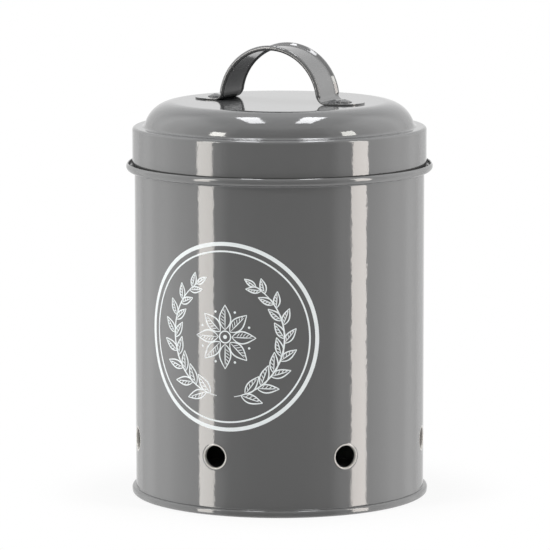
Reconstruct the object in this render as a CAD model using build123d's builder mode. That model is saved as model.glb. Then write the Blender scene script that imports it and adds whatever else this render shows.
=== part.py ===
from build123d import *
from math import acos, asin, atan2, cos, degrees, hypot, pi, radians, sin, sqrt
import os

# Garlic keeper: a round sheet-steel canister with air vents and a lift-off lid with a strap handle.
#
# Millimetres, +Z up.  The origin is the middle of the base, on the surface the keeper stands on.
# -Y is the front, through the middle vent.  The handle spans X.  The wall's seam is at the back, +Y.

os.makedirs("parts", exist_ok=True)

# ---------------------------------------------------------------------------------------------
# Driving dimensions
# ---------------------------------------------------------------------------------------------

# Sheet steel
SHEET = 0.4  # body, base, lid and plug ring
STRAP_SHEET = 0.6  # handle strap

# Body wall and its flared rim, an open half-round that the lid's skirt drops into
BODY_RADIUS = 60.0
BODY_HEIGHT = 138.15  # base to the top edge of the rim
RIM_RADIUS = 1.9  # outside radius of the half-round
RIM_REACH = 1.6  # centre of the half-round, outside the wall
RIM_LIP_ANGLE = 51.0  # the lip ends this far above the half-round's widest point
RIM_FLARE_RADIUS = 0.8  # bend where the wall turns out into the half-round

# Folded seam up the back of the wall
LOCK_SEAM_WIDTH = 6.0
LOCK_SEAM_STEP = 0.4
LOCK_SEAM_GAP = 0.4  # left free under the rim

# Air vents, punched and flanged inwards
VENT_COUNT = 7
VENT_DIAMETER = 9.0
VENT_HEIGHT = 24.0
VENT_SEAM_MARGIN = 23.5  # along the wall, from the seam's middle to the nearest vent
VENT_FLANGE_DEPTH = 1.6
VENT_EDGE_RADIUS = 0.8

# Base and the double seam that folds it round the wall's foot
FOOT_HEIGHT = 3.0
FOOT_REACH = 1.65  # the seam stands this far outside the wall
FOOT_TOP_RADIUS = 1.3
FOOT_BOTTOM_RADIUS = 1.1
FOOT_FOLD = 0.8  # metal under the wall's edge
PAN_RISE = 3.2  # underside of the base above the table
PAN_BEND_RADIUS = 0.5
FOOT_INNER_RADIUS = 0.3

# Lid
SKIRT_REACH = 0.9  # the skirt stands this far outside the body wall
SKIRT_SEAT_GAP = 0.45  # between the skirt's edge and the bottom of the rim
LEDGE_RISE = 15.0  # ledge above the body's rim
SHOULDER_RADIUS = 1.4
LEDGE_WIDTH = 5.0  # from the skirt in to where the crown rises through the ledge's level
CROWN_RISE = 10.35  # flat top above the ledge
CROWN_RADIUS = 12.7  # one arc from the ledge to the flat top
CROWN_FOOT_RADIUS = 1.5

# Plug ring inside the skirt
PLUG_CLEARANCE = 0.4  # to the inside of the body wall
PLUG_DEPTH = 10.4  # below the skirt's edge
PLUG_LIP = 1.3
PLUG_BEND_RADIUS = 0.45
PLUG_JOG_RISE = 1.2
PLUG_JOG_HEIGHT = 1.5  # foot of the jog above the skirt's edge
PLUG_WELD_BAND = 11.0  # height of the band that lies against the skirt

# Handle strap
ARCH_RADIUS = 23.25  # over the rolled edges
ARCH_CENTRE_RISE = 0.25  # centre of the arch above the lid
STRAP_WIDTH = 19.8  # over the rolled edges
FOOT_WIDTH = 19.4  # where the edges end and the strap is flat
BEAD_RADIUS = 1.05  # rolled edge
BEAD_PROUD = 0.7  # the rolled edge stands this far above the strap's panel
FOOT_BEND_RADIUS = 3.2
FOOT_LENGTH = 12.4  # flat part of each foot, from the bend to the rounded tip

# Blind rivets
RIVET_BEND_MARGIN = 4.0  # from the foot's bend to the rivet's middle
RIVET_SHANK_RADIUS = 1.6
RIVET_HOLE_CLEARANCE = 0.05
RIVET_HEAD_RADIUS = 3.25
RIVET_HEAD_EDGE = 0.25
RIVET_DOME_RISE = 0.9
RIVET_BULB_RADIUS = 2.45
RIVET_BULB_LENGTH = 2.4
RIVET_BULB_ROUND = 0.6
MANDREL_RADIUS = 0.9
MANDREL_DIP = 0.5  # the snapped end lies this far below the rivet's crest
MANDREL_HEAD_RADIUS = 1.45
MANDREL_HEAD_LENGTH = 1.2
MANDREL_HEAD_ROUND = 0.5

# ---------------------------------------------------------------------------------------------
# Levels and radii that follow from them
# ---------------------------------------------------------------------------------------------

inner_radius = BODY_RADIUS - SHEET

rim_centre_z = BODY_HEIGHT - RIM_RADIUS * sin(radians(RIM_LIP_ANGLE))
flare_offset = RIM_REACH - RIM_FLARE_RADIUS
flare_drop = sqrt((RIM_RADIUS + RIM_FLARE_RADIUS) ** 2 - flare_offset**2)
flare_sweep = 180.0 - degrees(atan2(flare_drop, flare_offset))
wall_top_z = rim_centre_z - flare_drop

seam_half_angle = VENT_SEAM_MARGIN / BODY_RADIUS
vent_sweep = degrees(2.0 * (pi - seam_half_angle))
FRONT_ANGLE = -90.0  # -Y, measured from +X

skirt_radius = BODY_RADIUS + SKIRT_REACH
skirt_foot_z = rim_centre_z - (RIM_RADIUS - SHEET) + SKIRT_SEAT_GAP
ledge_z = BODY_HEIGHT + LEDGE_RISE
lid_top_z = ledge_z + CROWN_RISE
ledge_above_crown_centre = CROWN_RADIUS - CROWN_RISE
crown_centre_radius = skirt_radius - LEDGE_WIDTH - sqrt(CROWN_RADIUS**2 - ledge_above_crown_centre**2)
crown_foot_angle = degrees(
    asin((ledge_above_crown_centre + CROWN_FOOT_RADIUS) / (CROWN_RADIUS + CROWN_FOOT_RADIUS))
)
ledge_inner_radius = crown_centre_radius + (CROWN_RADIUS + CROWN_FOOT_RADIUS) * cos(
    radians(crown_foot_angle)
)

plug_radius = inner_radius - PLUG_CLEARANCE
weld_radius = skirt_radius - SHEET
plug_foot_z = skirt_foot_z - PLUG_DEPTH
jog_foot_z = skirt_foot_z + PLUG_JOG_HEIGHT
jog_top_z = jog_foot_z + PLUG_JOG_RISE
plug_top_z = jog_top_z + PLUG_WELD_BAND

strap_top_z = lid_top_z + STRAP_SHEET
arch_centre_z = lid_top_z + ARCH_CENTRE_RISE
panel_radius = ARCH_RADIUS - BEAD_PROUD
bead_centre_radius = ARCH_RADIUS - BEAD_RADIUS
bead_centre_y = STRAP_WIDTH / 2 - BEAD_RADIUS
bend_centre_z = strap_top_z + FOOT_BEND_RADIUS
bend_rise = bend_centre_z - arch_centre_z
bend_reach = panel_radius + FOOT_BEND_RADIUS
bend_centre_x = sqrt(bend_reach**2 - bend_rise**2)
leg_angle = degrees(asin(bend_rise / bend_reach))
arch_sweep = 180.0 - 2.0 * leg_angle
foot_span = 2.0 * (bend_centre_x + FOOT_LENGTH)
rivet_spacing = 2.0 * (bend_centre_x + RIVET_BEND_MARGIN)

# ---------------------------------------------------------------------------------------------
# Body shell: rolled wall, flared rim, back seam and vents
# ---------------------------------------------------------------------------------------------

# Inward flange of one vent, on the +X side
with BuildPart() as vent_flange:
    with BuildSketch(Plane.YZ.offset(BODY_RADIUS - VENT_FLANGE_DEPTH)):
        with Locations((0, VENT_HEIGHT)):
            Circle(VENT_DIAMETER / 2 + SHEET)
    extrude(amount=VENT_FLANGE_DEPTH)
    with BuildSketch(Plane.XY):
        Circle(BODY_RADIUS - SHEET / 2)
    extrude(amount=BODY_HEIGHT, mode=Mode.INTERSECT)

# Bore of one vent, on the +X side
with BuildPart() as vent_bore:
    with BuildSketch(Plane.YZ.offset(BODY_RADIUS - 2 * VENT_FLANGE_DEPTH)):
        with Locations((0, VENT_HEIGHT)):
            Circle(VENT_DIAMETER / 2)
    extrude(amount=4 * VENT_FLANGE_DEPTH)


def is_vent_mouth(edge):
    """Tell whether an edge is the outer edge of a vent's bore."""
    centre = edge.bounding_box().center()
    at_vent_height = abs(centre.Z - VENT_HEIGHT) < SHEET
    on_outside = hypot(centre.X, centre.Y) > BODY_RADIUS - SHEET
    return at_vent_height and on_outside and edge.is_closed


with BuildPart() as body_shell:
    with BuildSketch(Plane.XZ):
        with BuildLine():
            wall = Line((BODY_RADIUS, FOOT_FOLD), (BODY_RADIUS, wall_top_z))
            flare = JernArc(wall @ 1, wall % 1, RIM_FLARE_RADIUS, -flare_sweep)
            JernArc(flare @ 1, flare % 1, RIM_RADIUS, flare_sweep + RIM_LIP_ANGLE)
            offset(amount=SHEET, side=Side.LEFT)
        make_face()
    revolve(axis=Axis.Z)
    with BuildSketch(Plane.XY.offset(FOOT_HEIGHT)):
        Circle(BODY_RADIUS + LOCK_SEAM_STEP)
        Circle(BODY_RADIUS - SHEET / 2, mode=Mode.SUBTRACT)
        with Locations((0, BODY_RADIUS)):
            Rectangle(LOCK_SEAM_WIDTH, BODY_RADIUS, mode=Mode.INTERSECT)
    extrude(amount=wall_top_z - LOCK_SEAM_GAP - FOOT_HEIGHT)
    with PolarLocations(
        0,
        VENT_COUNT,
        start_angle=FRONT_ANGLE - vent_sweep / 2,
        angular_range=vent_sweep,
        endpoint=True,
    ):
        add(vent_flange.part)
        add(vent_bore.part, mode=Mode.SUBTRACT)
    fillet(body_shell.edges().filter_by(is_vent_mouth), radius=VENT_EDGE_RADIUS)

body_shell.part.label = "body_shell"
export_step(body_shell.part, "parts/body_shell.step")

# ---------------------------------------------------------------------------------------------
# Base pan: raised disc whose edge folds round the foot of the wall
# ---------------------------------------------------------------------------------------------

with BuildPart() as base_pan:
    with BuildSketch(Plane.XZ):
        with BuildLine():
            FilletPolyline(
                (0, PAN_RISE),
                (inner_radius - SHEET, PAN_RISE),
                (inner_radius - SHEET, 0),
                (BODY_RADIUS + FOOT_REACH, 0),
                (BODY_RADIUS + FOOT_REACH, FOOT_HEIGHT),
                (BODY_RADIUS, FOOT_HEIGHT),
                (BODY_RADIUS, FOOT_FOLD),
                (inner_radius, FOOT_FOLD),
                (inner_radius, PAN_RISE + SHEET),
                (0, PAN_RISE + SHEET),
                radius=(
                    PAN_BEND_RADIUS,
                    FOOT_INNER_RADIUS,
                    FOOT_BOTTOM_RADIUS,
                    FOOT_TOP_RADIUS,
                    0,
                    0,
                    0,
                    PAN_BEND_RADIUS,
                ),
            )
            Line((0, PAN_RISE + SHEET), (0, PAN_RISE))
        make_face()
    revolve(axis=Axis.Z)

base_pan.part.label = "base_pan"
export_step(base_pan.part, "parts/base_pan.step")

# ---------------------------------------------------------------------------------------------
# Lid shell: skirt, ledge and flat-topped crown, drawn from one sheet
# ---------------------------------------------------------------------------------------------

with BuildPart() as lid_shell:
    with BuildSketch(Plane.XZ):
        with BuildLine():
            skirt = Line((skirt_radius, skirt_foot_z), (skirt_radius, ledge_z - SHOULDER_RADIUS))
            shoulder = JernArc(skirt @ 1, skirt % 1, SHOULDER_RADIUS, 90)
            ledge = Line(shoulder @ 1, (ledge_inner_radius, ledge_z))
            crown_foot = JernArc(ledge @ 1, ledge % 1, CROWN_FOOT_RADIUS, crown_foot_angle - 90)
            crown = JernArc(crown_foot @ 1, crown_foot % 1, CROWN_RADIUS, 90 - crown_foot_angle)
            Line(crown @ 1, (0, lid_top_z))
            offset(amount=SHEET, side=Side.LEFT)
        make_face()
    revolve(axis=Axis.Z)
    with BuildSketch(Plane.XY.offset(lid_top_z)):
        with GridLocations(rivet_spacing, 0, 2, 1):
            Circle(RIVET_SHANK_RADIUS + RIVET_HOLE_CLEARANCE)
    extrude(amount=-SHEET, mode=Mode.SUBTRACT)

lid_shell.part.label = "lid_shell"
export_step(lid_shell.part, "parts/lid_shell.step")

# ---------------------------------------------------------------------------------------------
# Plug ring: welded inside the skirt, jogged inwards to pass down inside the body wall
# ---------------------------------------------------------------------------------------------

with BuildPart() as lid_plug_ring:
    with BuildSketch(Plane.XZ):
        with BuildLine():
            FilletPolyline(
                (plug_radius - PLUG_LIP, plug_foot_z),
                (plug_radius, plug_foot_z),
                (plug_radius, jog_foot_z),
                (weld_radius, jog_top_z),
                (weld_radius, plug_top_z),
                radius=PLUG_BEND_RADIUS,
            )
            offset(amount=SHEET, side=Side.LEFT)
        make_face()
    revolve(axis=Axis.Z)

lid_plug_ring.part.label = "lid_plug_ring"
export_step(lid_plug_ring.part, "parts/lid_plug_ring.step")

# ---------------------------------------------------------------------------------------------
# Handle strap: flat feet, short bends and a half-round arch with rolled edges
# ---------------------------------------------------------------------------------------------

leg_plane = Plane(
    origin=(0, 0, arch_centre_z),
    x_dir=Vector(1, 0, 0).rotate(Axis.Y, -leg_angle),
    z_dir=Vector(0, 0, 1).rotate(Axis.Y, -leg_angle),
)
arch_axis = Axis((0, 0, arch_centre_z), (0, -1, 0))

with BuildPart() as handle_strap:
    with BuildSketch(Plane.XZ):
        with BuildLine():
            Line((-foot_span / 2, strap_top_z), (-bend_centre_x, strap_top_z))
            CenterArc((-bend_centre_x, bend_centre_z), FOOT_BEND_RADIUS, -90, 90 - leg_angle)
            CenterArc((0, arch_centre_z), panel_radius, 180 - leg_angle, -arch_sweep)
            CenterArc((bend_centre_x, bend_centre_z), FOOT_BEND_RADIUS, 180 + leg_angle, 90 - leg_angle)
            Line((bend_centre_x, strap_top_z), (foot_span / 2, strap_top_z))
            offset(amount=STRAP_SHEET, side=Side.RIGHT)
        make_face()
    extrude(amount=STRAP_WIDTH / 2, both=True)
    with BuildSketch(Plane.XY.offset(lid_top_z)):
        SlotOverall(foot_span, FOOT_WIDTH)
    extrude(amount=2 * ARCH_RADIUS, mode=Mode.INTERSECT)
    # The arch's panel ends at the middle of each rolled edge
    with BuildSketch(leg_plane):
        with Locations(
            (panel_radius, STRAP_WIDTH / 2),
            (panel_radius, -STRAP_WIDTH / 2),
        ):
            Rectangle(4 * STRAP_SHEET, 2 * BEAD_RADIUS)
    revolve(axis=arch_axis, revolution_arc=arch_sweep, mode=Mode.SUBTRACT)
    with BuildSketch(leg_plane):
        with Locations(
            (bead_centre_radius, bead_centre_y),
            (bead_centre_radius, -bead_centre_y),
        ):
            Circle(BEAD_RADIUS)
    revolve(axis=arch_axis, revolution_arc=arch_sweep)
    for turn in (leg_angle, 180 - leg_angle):
        bead_end = Vector(bead_centre_radius, 0, 0).rotate(Axis.Y, -turn)
        with Locations(
            (bead_end.X, bead_centre_y, arch_centre_z + bead_end.Z),
            (bead_end.X, -bead_centre_y, arch_centre_z + bead_end.Z),
        ):
            Sphere(BEAD_RADIUS)
    with BuildSketch(Plane.XY.offset(strap_top_z)):
        with GridLocations(rivet_spacing, 0, 2, 1):
            Circle(RIVET_SHANK_RADIUS + RIVET_HOLE_CLEARANCE)
    extrude(amount=-STRAP_SHEET, mode=Mode.SUBTRACT)

handle_strap.part.label = "handle_strap"
export_step(handle_strap.part, "parts/handle_strap.step")

# ---------------------------------------------------------------------------------------------
# Blind rivets and the mandrel stubs that stay in them
# ---------------------------------------------------------------------------------------------

grip = STRAP_SHEET + SHEET
head_crest = RIVET_HEAD_EDGE + RIVET_DOME_RISE
dome_radius = (RIVET_HEAD_RADIUS**2 + RIVET_DOME_RISE**2) / (2 * RIVET_DOME_RISE)
dome_centre = head_crest - dome_radius
dome_rim_angle = degrees(acos(RIVET_HEAD_RADIUS / dome_radius))
dome_hole_angle = degrees(acos(MANDREL_RADIUS / dome_radius))
bulb_foot = -grip - RIVET_BULB_LENGTH
mandrel_top = head_crest - MANDREL_DIP

for side, rivet_x in (("left", -rivet_spacing / 2), ("right", rivet_spacing / 2)):
    # Radius across, height above the strap's foot up
    rivet_plane = Plane(origin=(rivet_x, 0, strap_top_z), x_dir=(1, 0, 0), z_dir=(0, -1, 0))
    rivet_axis = Axis((rivet_x, 0, 0), (0, 0, 1))

    with BuildPart() as rivet:
        with BuildSketch(rivet_plane):
            with BuildLine():
                dome = CenterArc(
                    (0, dome_centre), dome_radius, dome_rim_angle, dome_hole_angle - dome_rim_angle
                )
                Polyline(
                    dome @ 0,
                    (RIVET_HEAD_RADIUS, 0),
                    (RIVET_SHANK_RADIUS, 0),
                    (RIVET_SHANK_RADIUS, -grip),
                    (RIVET_BULB_RADIUS, -grip),
                    (RIVET_BULB_RADIUS, bulb_foot),
                    (MANDREL_RADIUS, bulb_foot),
                    dome @ 1,
                )
            make_face()
        revolve(axis=rivet_axis)
        fillet(rivet.edges().group_by(Axis.Z)[0].sort_by(SortBy.RADIUS)[-1], radius=RIVET_BULB_ROUND)
    rivet.part.label = f"rivet_{side}"
    export_step(rivet.part, f"parts/rivet_{side}.step")

    with BuildPart() as mandrel:
        with BuildSketch(rivet_plane):
            with BuildLine():
                Polyline(
                    (0, mandrel_top),
                    (MANDREL_RADIUS, mandrel_top),
                    (MANDREL_RADIUS, bulb_foot),
                    (MANDREL_HEAD_RADIUS, bulb_foot),
                    (MANDREL_HEAD_RADIUS, bulb_foot - MANDREL_HEAD_LENGTH),
                    (0, bulb_foot - MANDREL_HEAD_LENGTH),
                    close=True,
                )
            make_face()
        revolve(axis=rivet_axis)
        fillet(mandrel.edges().group_by(Axis.Z)[0], radius=MANDREL_HEAD_ROUND)
    mandrel.part.label = f"rivet_mandrel_{side}"
    export_step(mandrel.part, f"parts/rivet_mandrel_{side}.step")
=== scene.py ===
"""Garlic keeper: a painted sheet-steel canister with air vents and a lift-off lid with a strap handle.

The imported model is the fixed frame: +Z up, -Y the front, the handle along X, in metres.  Each sheet
metal part and fastener is modelled over its node of that frame and dressed in its real finish.
"""

import logging
import math
from collections.abc import Callable, Iterator, Sequence
from contextlib import contextmanager
from dataclasses import dataclass
from enum import Enum

import bmesh
import bpy
from mathutils import Matrix, Vector

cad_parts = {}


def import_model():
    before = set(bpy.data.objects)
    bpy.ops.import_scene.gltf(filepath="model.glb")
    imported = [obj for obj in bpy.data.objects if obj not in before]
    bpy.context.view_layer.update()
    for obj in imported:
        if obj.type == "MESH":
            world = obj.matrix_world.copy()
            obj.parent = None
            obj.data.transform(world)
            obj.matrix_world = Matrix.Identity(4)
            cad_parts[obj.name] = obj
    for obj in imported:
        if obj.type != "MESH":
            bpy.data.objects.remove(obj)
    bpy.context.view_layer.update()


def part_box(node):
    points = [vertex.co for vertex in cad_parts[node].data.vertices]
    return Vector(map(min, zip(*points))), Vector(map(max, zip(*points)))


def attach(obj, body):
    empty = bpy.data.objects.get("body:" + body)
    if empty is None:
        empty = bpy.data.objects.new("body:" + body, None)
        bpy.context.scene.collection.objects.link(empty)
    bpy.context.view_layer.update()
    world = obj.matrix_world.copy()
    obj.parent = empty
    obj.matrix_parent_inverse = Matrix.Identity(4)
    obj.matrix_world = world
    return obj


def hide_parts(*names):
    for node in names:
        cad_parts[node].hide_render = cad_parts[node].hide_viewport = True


MM = 0.001
WELD_DISTANCE = 0.0005 * MM
TOLERANCE = 0.01 * MM
SMOOTH_ANGLE = 35.0
FULL_TURN = 2.0 * math.pi
ORIGIN = (0.0, 0.0, 0.0)
AXIS_X = (1.0, 0.0, 0.0)
AXIS_Y = (0.0, 1.0, 0.0)
AXIS_Z = (0.0, 0.0, 1.0)

LID_SHEET = 0.4 * MM
STRAP_SHEET = 0.6 * MM
RIVET_HOLE = 1.65 * MM
DRILL_SIDES = 48

Point = tuple[float, float]

log = logging.getLogger("garlic_keeper")


class Body(Enum):
    """The two bodies of the frame."""

    CANISTER = "canister"
    LID = "lid"


class Slot(Enum):
    """The record's material slots."""

    BODY_PAINT = "body_paint"
    LID_PAINT = "lid_paint"
    BADGE_INK = "badge_ink"
    RIVET_PAINT = "rivet_paint"
    MANDREL_STEEL = "mandrel_steel"


class Side(Enum):
    """Which end of the handle, as a sign along X."""

    LEFT = -1
    RIGHT = 1


# Outlines


def arc(centre: Point, radius: float, start: float, end: float, step: float = 5.0) -> list[Point]:
    """Work out the points of an arc.

    Args:
        centre: Middle of the arc, across and up.
        radius: Radius of the arc.
        start: Angle of the first point in degrees, anticlockwise from across.
        end: Angle of the last point.
        step: Largest angle between two points.

    Returns:
        The points, both ends included.
    """
    count = max(1, math.ceil(abs(end - start) / step))
    angles = [math.radians(start + (end - start) * i / count) for i in range(count + 1)]
    return [(centre[0] + radius * math.cos(a), centre[1] + radius * math.sin(a)) for a in angles]


def rounded(corners: Sequence[tuple[float, float, float]], easing: float) -> list[Point]:
    """Draw a line through corners, each rounded to its own radius.

    A point is added on the straight run just before and after each arc, so that smooth shading stays
    true on the run.

    Args:
        corners: Place across, place up and radius of each corner.
        easing: Distance of the added points from the arc.

    Returns:
        The points of the line.
    """
    points: list[Point] = []
    for i, (across, up, radius) in enumerate(corners):
        here = Vector((across, up))
        if radius == 0.0 or i in (0, len(corners) - 1):
            points.append((across, up))
            continue
        back = (Vector(corners[i - 1][:2]) - here).normalized()
        ahead = (Vector(corners[i + 1][:2]) - here).normalized()
        half = back.angle(ahead) / 2.0
        reach = radius / math.tan(half)
        centre = here + (back + ahead).normalized() * radius / math.sin(half)
        first = here + back * reach
        start = math.degrees(math.atan2(first.y - centre.y, first.x - centre.x))
        sweep = 180.0 - math.degrees(2.0 * half)
        turn = math.copysign(sweep, back.x * ahead.y - back.y * ahead.x)
        before = here + back * (reach + easing)
        after = here + ahead * (reach + easing)
        points.append((before.x, before.y))
        points += arc((centre.x, centre.y), radius, start, start - turn)
        points.append((after.x, after.y))
    return points


def smooth_step(share: float) -> float:
    """Ease a share from 0 to 1, level at both ends and beyond them."""
    share = min(max(share, 0.0), 1.0)
    return share * share * (3.0 - 2.0 * share)


# Modelling


def add_primitive(name: str, operator: Callable[..., set[str]], **settings: object) -> bpy.types.Object:
    """Add a primitive with nothing else selected.

    Args:
        name: Name of the new piece.
        operator: Operator that adds the primitive.
        **settings: Settings of the operator.

    Returns:
        The new piece.
    """
    bpy.ops.object.select_all(action="DESELECT")
    operator(**settings)
    piece = bpy.context.active_object
    piece.name = name
    piece.data.name = name
    return piece


def make_active(piece: bpy.types.Object) -> None:
    """Select one piece alone and make it active.

    Args:
        piece: Piece to select.
    """
    bpy.ops.object.select_all(action="DESELECT")
    piece.select_set(True)
    bpy.context.view_layer.objects.active = piece


@contextmanager
def editing(piece: bpy.types.Object) -> Iterator[None]:
    """Keep a piece in edit mode, with all of it selected at the start.

    Args:
        piece: Piece to edit.

    Yields:
        Nothing.
    """
    make_active(piece)
    bpy.ops.object.mode_set(mode="EDIT")
    bpy.ops.mesh.select_mode(type="VERT")
    bpy.ops.mesh.select_all(action="SELECT")
    yield
    bpy.ops.object.mode_set(mode="OBJECT")


def pick_points(piece: bpy.types.Object, test: Callable[[bmesh.types.BMVert], bool]) -> None:
    """Select the vertices that pass a test, and nothing else.

    Args:
        piece: Piece in edit mode.
        test: Tells whether a vertex is wanted.
    """
    bpy.ops.mesh.select_all(action="DESELECT")
    mesh = bmesh.from_edit_mesh(piece.data)
    for vertex in mesh.verts:
        if test(vertex):
            vertex.select = True
    mesh.select_flush(True)
    bmesh.update_edit_mesh(piece.data)


def pick_faces(piece: bpy.types.Object, test: Callable[[Vector], bool]) -> None:
    """Select the faces whose middles pass a test, and nothing else.

    Args:
        piece: Piece in edit mode.
        test: Tells whether a face with this middle is wanted.
    """
    bpy.ops.mesh.select_all(action="DESELECT")
    mesh = bmesh.from_edit_mesh(piece.data)
    for face in mesh.faces:
        if test(face.calc_center_median()):
            face.select_set(True)
    bmesh.update_edit_mesh(piece.data)


def shift_points(piece: bpy.types.Object, place: Callable[[Vector], Vector]) -> None:
    """Move each selected vertex to a place worked out from where it is.

    Args:
        piece: Piece in edit mode.
        place: Gives a vertex's new place from its present one.
    """
    mesh = bmesh.from_edit_mesh(piece.data)
    for vertex in mesh.verts:
        if vertex.select:
            vertex.co = place(vertex.co.copy())
    bmesh.update_edit_mesh(piece.data)


def extrude_by(step: Vector | tuple[float, float, float]) -> None:
    """Extrude what is selected by a step."""
    bpy.ops.mesh.extrude_region_move(TRANSFORM_OT_translate={"value": tuple(step)})


def carry_ring(path: Sequence[Point]) -> None:
    """Extrude the selected ring, centred on the axis, along a path.

    Args:
        path: Radius and height at each step, the first being where the ring is.
    """
    for (radius, height), (next_radius, next_height) in zip(path, path[1:]):
        extrude_by((0.0, 0.0, next_height - height))
        scale = next_radius / radius
        if scale != 1.0:
            bpy.ops.transform.resize(value=(scale, scale, 1.0), center_override=ORIGIN)


def trace(name: str, outline: Sequence[Point], closed: bool) -> bpy.types.Object:
    """Draw an outline in the XZ plane, extruding one vertex from point to point.

    Args:
        name: Name of the new piece.
        outline: Radius and height of each point.
        closed: Whether an edge joins the last point to the first.

    Returns:
        The new piece, a line of edges.
    """
    piece = add_primitive(name, bpy.ops.mesh.primitive_plane_add, size=MM)
    with editing(piece):
        bpy.ops.mesh.merge(type="CENTER")
        bpy.ops.transform.translate(value=(outline[0][0], 0.0, outline[0][1]))
        for here, there in zip(outline, outline[1:]):
            extrude_by((there[0] - here[0], 0.0, there[1] - here[1]))
        if closed:
            ends = [Vector((across, 0.0, up)) for across, up in (outline[0], outline[-1])]
            pick_points(piece, lambda v: min((v.co - end).length for end in ends) < TOLERANCE)
            bpy.ops.mesh.edge_face_add()
    return piece


def face_outwards(piece: bpy.types.Object) -> None:
    """Merge doubles and turn all faces the same way, outwards at the widest place.

    Args:
        piece: Piece that is round about the Z axis.
    """
    with editing(piece):
        bpy.ops.mesh.remove_doubles(threshold=WELD_DISTANCE)
        bpy.ops.mesh.normals_make_consistent(inside=False)
    widest = max(piece.data.polygons, key=lambda face: face.center.xy.length)
    if widest.normal.xy.dot(widest.center.xy) < 0.0:
        with editing(piece):
            bpy.ops.mesh.flip_normals()


def lathe(name: str, outline: Sequence[Point], steps: int, closed: bool = False) -> bpy.types.Object:
    """Spin an outline once round the Z axis.

    Args:
        name: Name of the new piece.
        outline: Radius and height of each point.
        steps: Number of faces round the axis.
        closed: Whether the outline is a closed ring.

    Returns:
        The new piece.
    """
    piece = trace(name, outline, closed)
    with editing(piece):
        bpy.ops.mesh.spin(steps=steps, angle=FULL_TURN, use_auto_merge=True, center=ORIGIN, axis=AXIS_Z)
    face_outwards(piece)
    return piece


def apply_modifier(piece: bpy.types.Object, kind: str, **settings: object) -> None:
    """Add a modifier to a piece and apply it.

    Args:
        piece: Piece to change.
        kind: Type of the modifier.
        **settings: Its settings.
    """
    make_active(piece)
    modifier = piece.modifiers.new(kind.lower(), kind)
    for name, value in settings.items():
        setattr(modifier, name, value)
    bpy.ops.object.modifier_apply(modifier=modifier.name)


def thicken(piece: bpy.types.Object, sheet: float) -> None:
    """Give a face-thin piece its sheet thickness, on the inner side."""
    apply_modifier(piece, "SOLIDIFY", thickness=sheet, offset=-1.0, use_even_offset=True)


def drill(piece: bpy.types.Object, places: Sequence[Vector], radius: float, depth: float) -> None:
    """Cut upright round holes through a piece.

    Args:
        piece: Piece to drill.
        places: Middle of each hole.
        radius: Radius of the holes.
        depth: Length of the drill, half above and half below each place.
    """
    sizes = {"vertices": DRILL_SIDES, "radius": radius, "depth": depth}
    for place in places:
        cutter = add_primitive("drill", bpy.ops.mesh.primitive_cylinder_add, location=place, **sizes)
        apply_modifier(piece, "BOOLEAN", operation="DIFFERENCE", solver="EXACT", object=cutter)
        bpy.data.objects.remove(cutter)


def copy_moved(piece: bpy.types.Object, name: str, step: Vector) -> bpy.types.Object:
    """Copy a piece with a mesh of its own, moved by a step.

    Args:
        piece: Piece to copy.
        name: Name of the copy.
        step: How far the copy's mesh is moved.

    Returns:
        The copy.
    """
    make_active(piece)
    bpy.ops.object.duplicate(linked=False)
    copy = bpy.context.active_object
    copy.name = name
    copy.data.name = name
    with editing(copy):
        bpy.ops.transform.translate(value=step)
    return copy


def finish_piece(
    piece: bpy.types.Object,
    material: bpy.types.Material,
    body: Body,
    nodes: Sequence[str] = (),
) -> None:
    """Shade a finished piece, dress it and tie it to the frame.

    Args:
        piece: Piece whose mesh is final.
        material: Its finish.
        body: Body that it moves with.
        nodes: CAD nodes that it stands for.
    """
    make_active(piece)
    bpy.ops.object.shade_smooth_by_angle(angle=math.radians(SMOOTH_ANGLE))
    piece.data.materials.clear()
    piece.data.materials.append(material)
    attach(piece, body.value)
    if nodes:
        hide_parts(*nodes)
    log.info("%s: %d faces, on %s, in %s", piece.name, len(piece.data.polygons), body.value, material.name)


# Finishes


def linear(code: str) -> tuple[float, float, float, float]:
    """Turn an sRGB hex value into a linear colour.

    Args:
        code: Colour such as "#5e5f60".

    Returns:
        Red, green, blue and an alpha of one.
    """
    shares = [int(code[i : i + 2], 16) / 255.0 for i in (1, 3, 5)]
    red, green, blue = (s / 12.92 if s <= 0.04045 else ((s + 0.055) / 1.055) ** 2.4 for s in shares)
    return red, green, blue, 1.0


def add_node(
    tree: bpy.types.NodeTree,
    kind: str,
    inputs: dict[str | int, object] | Sequence[object] = (),
    **settings: object,
) -> bpy.types.Node:
    """Add a shader node.

    Args:
        tree: Node tree that it goes into.
        kind: Type of the node.
        inputs: What each input gets, in their order or by name or number: a value, a socket, or a
            node, whose output in use feeds it.
        **settings: Its own properties.

    Returns:
        The new node.
    """
    node = tree.nodes.new(f"ShaderNode{kind}")
    for name, value in settings.items():
        setattr(node, name, value)
    by_name = inputs if isinstance(inputs, dict) else dict(enumerate(inputs))
    for name, value in by_name.items():
        if isinstance(value, bpy.types.Node):
            value = next(output for output in value.outputs if output.enabled)
        if isinstance(value, bpy.types.NodeSocket):
            tree.links.new(value, node.inputs[name])
        else:
            node.inputs[name].default_value = value
    return node


def start_material(name: str) -> tuple[bpy.types.Material, bpy.types.NodeTree, bpy.types.NodeSocket]:
    """Make a material that has no nodes yet but its coordinates.

    Args:
        name: Name of the finish.

    Returns:
        The material, its node tree and the place on the piece.
    """
    material = bpy.data.materials.new(name)
    material.use_nodes = True
    tree = material.node_tree
    tree.nodes.clear()
    return material, tree, add_node(tree, "TexCoord").outputs["Object"]


# Most values of a noise pattern lie between these
NOISE_SPAN = (0.3, 0.7)

# Inputs of a Mix node for colours
SHARE, FIRST_COLOUR, SECOND_COLOUR = 0, 6, 7


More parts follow.
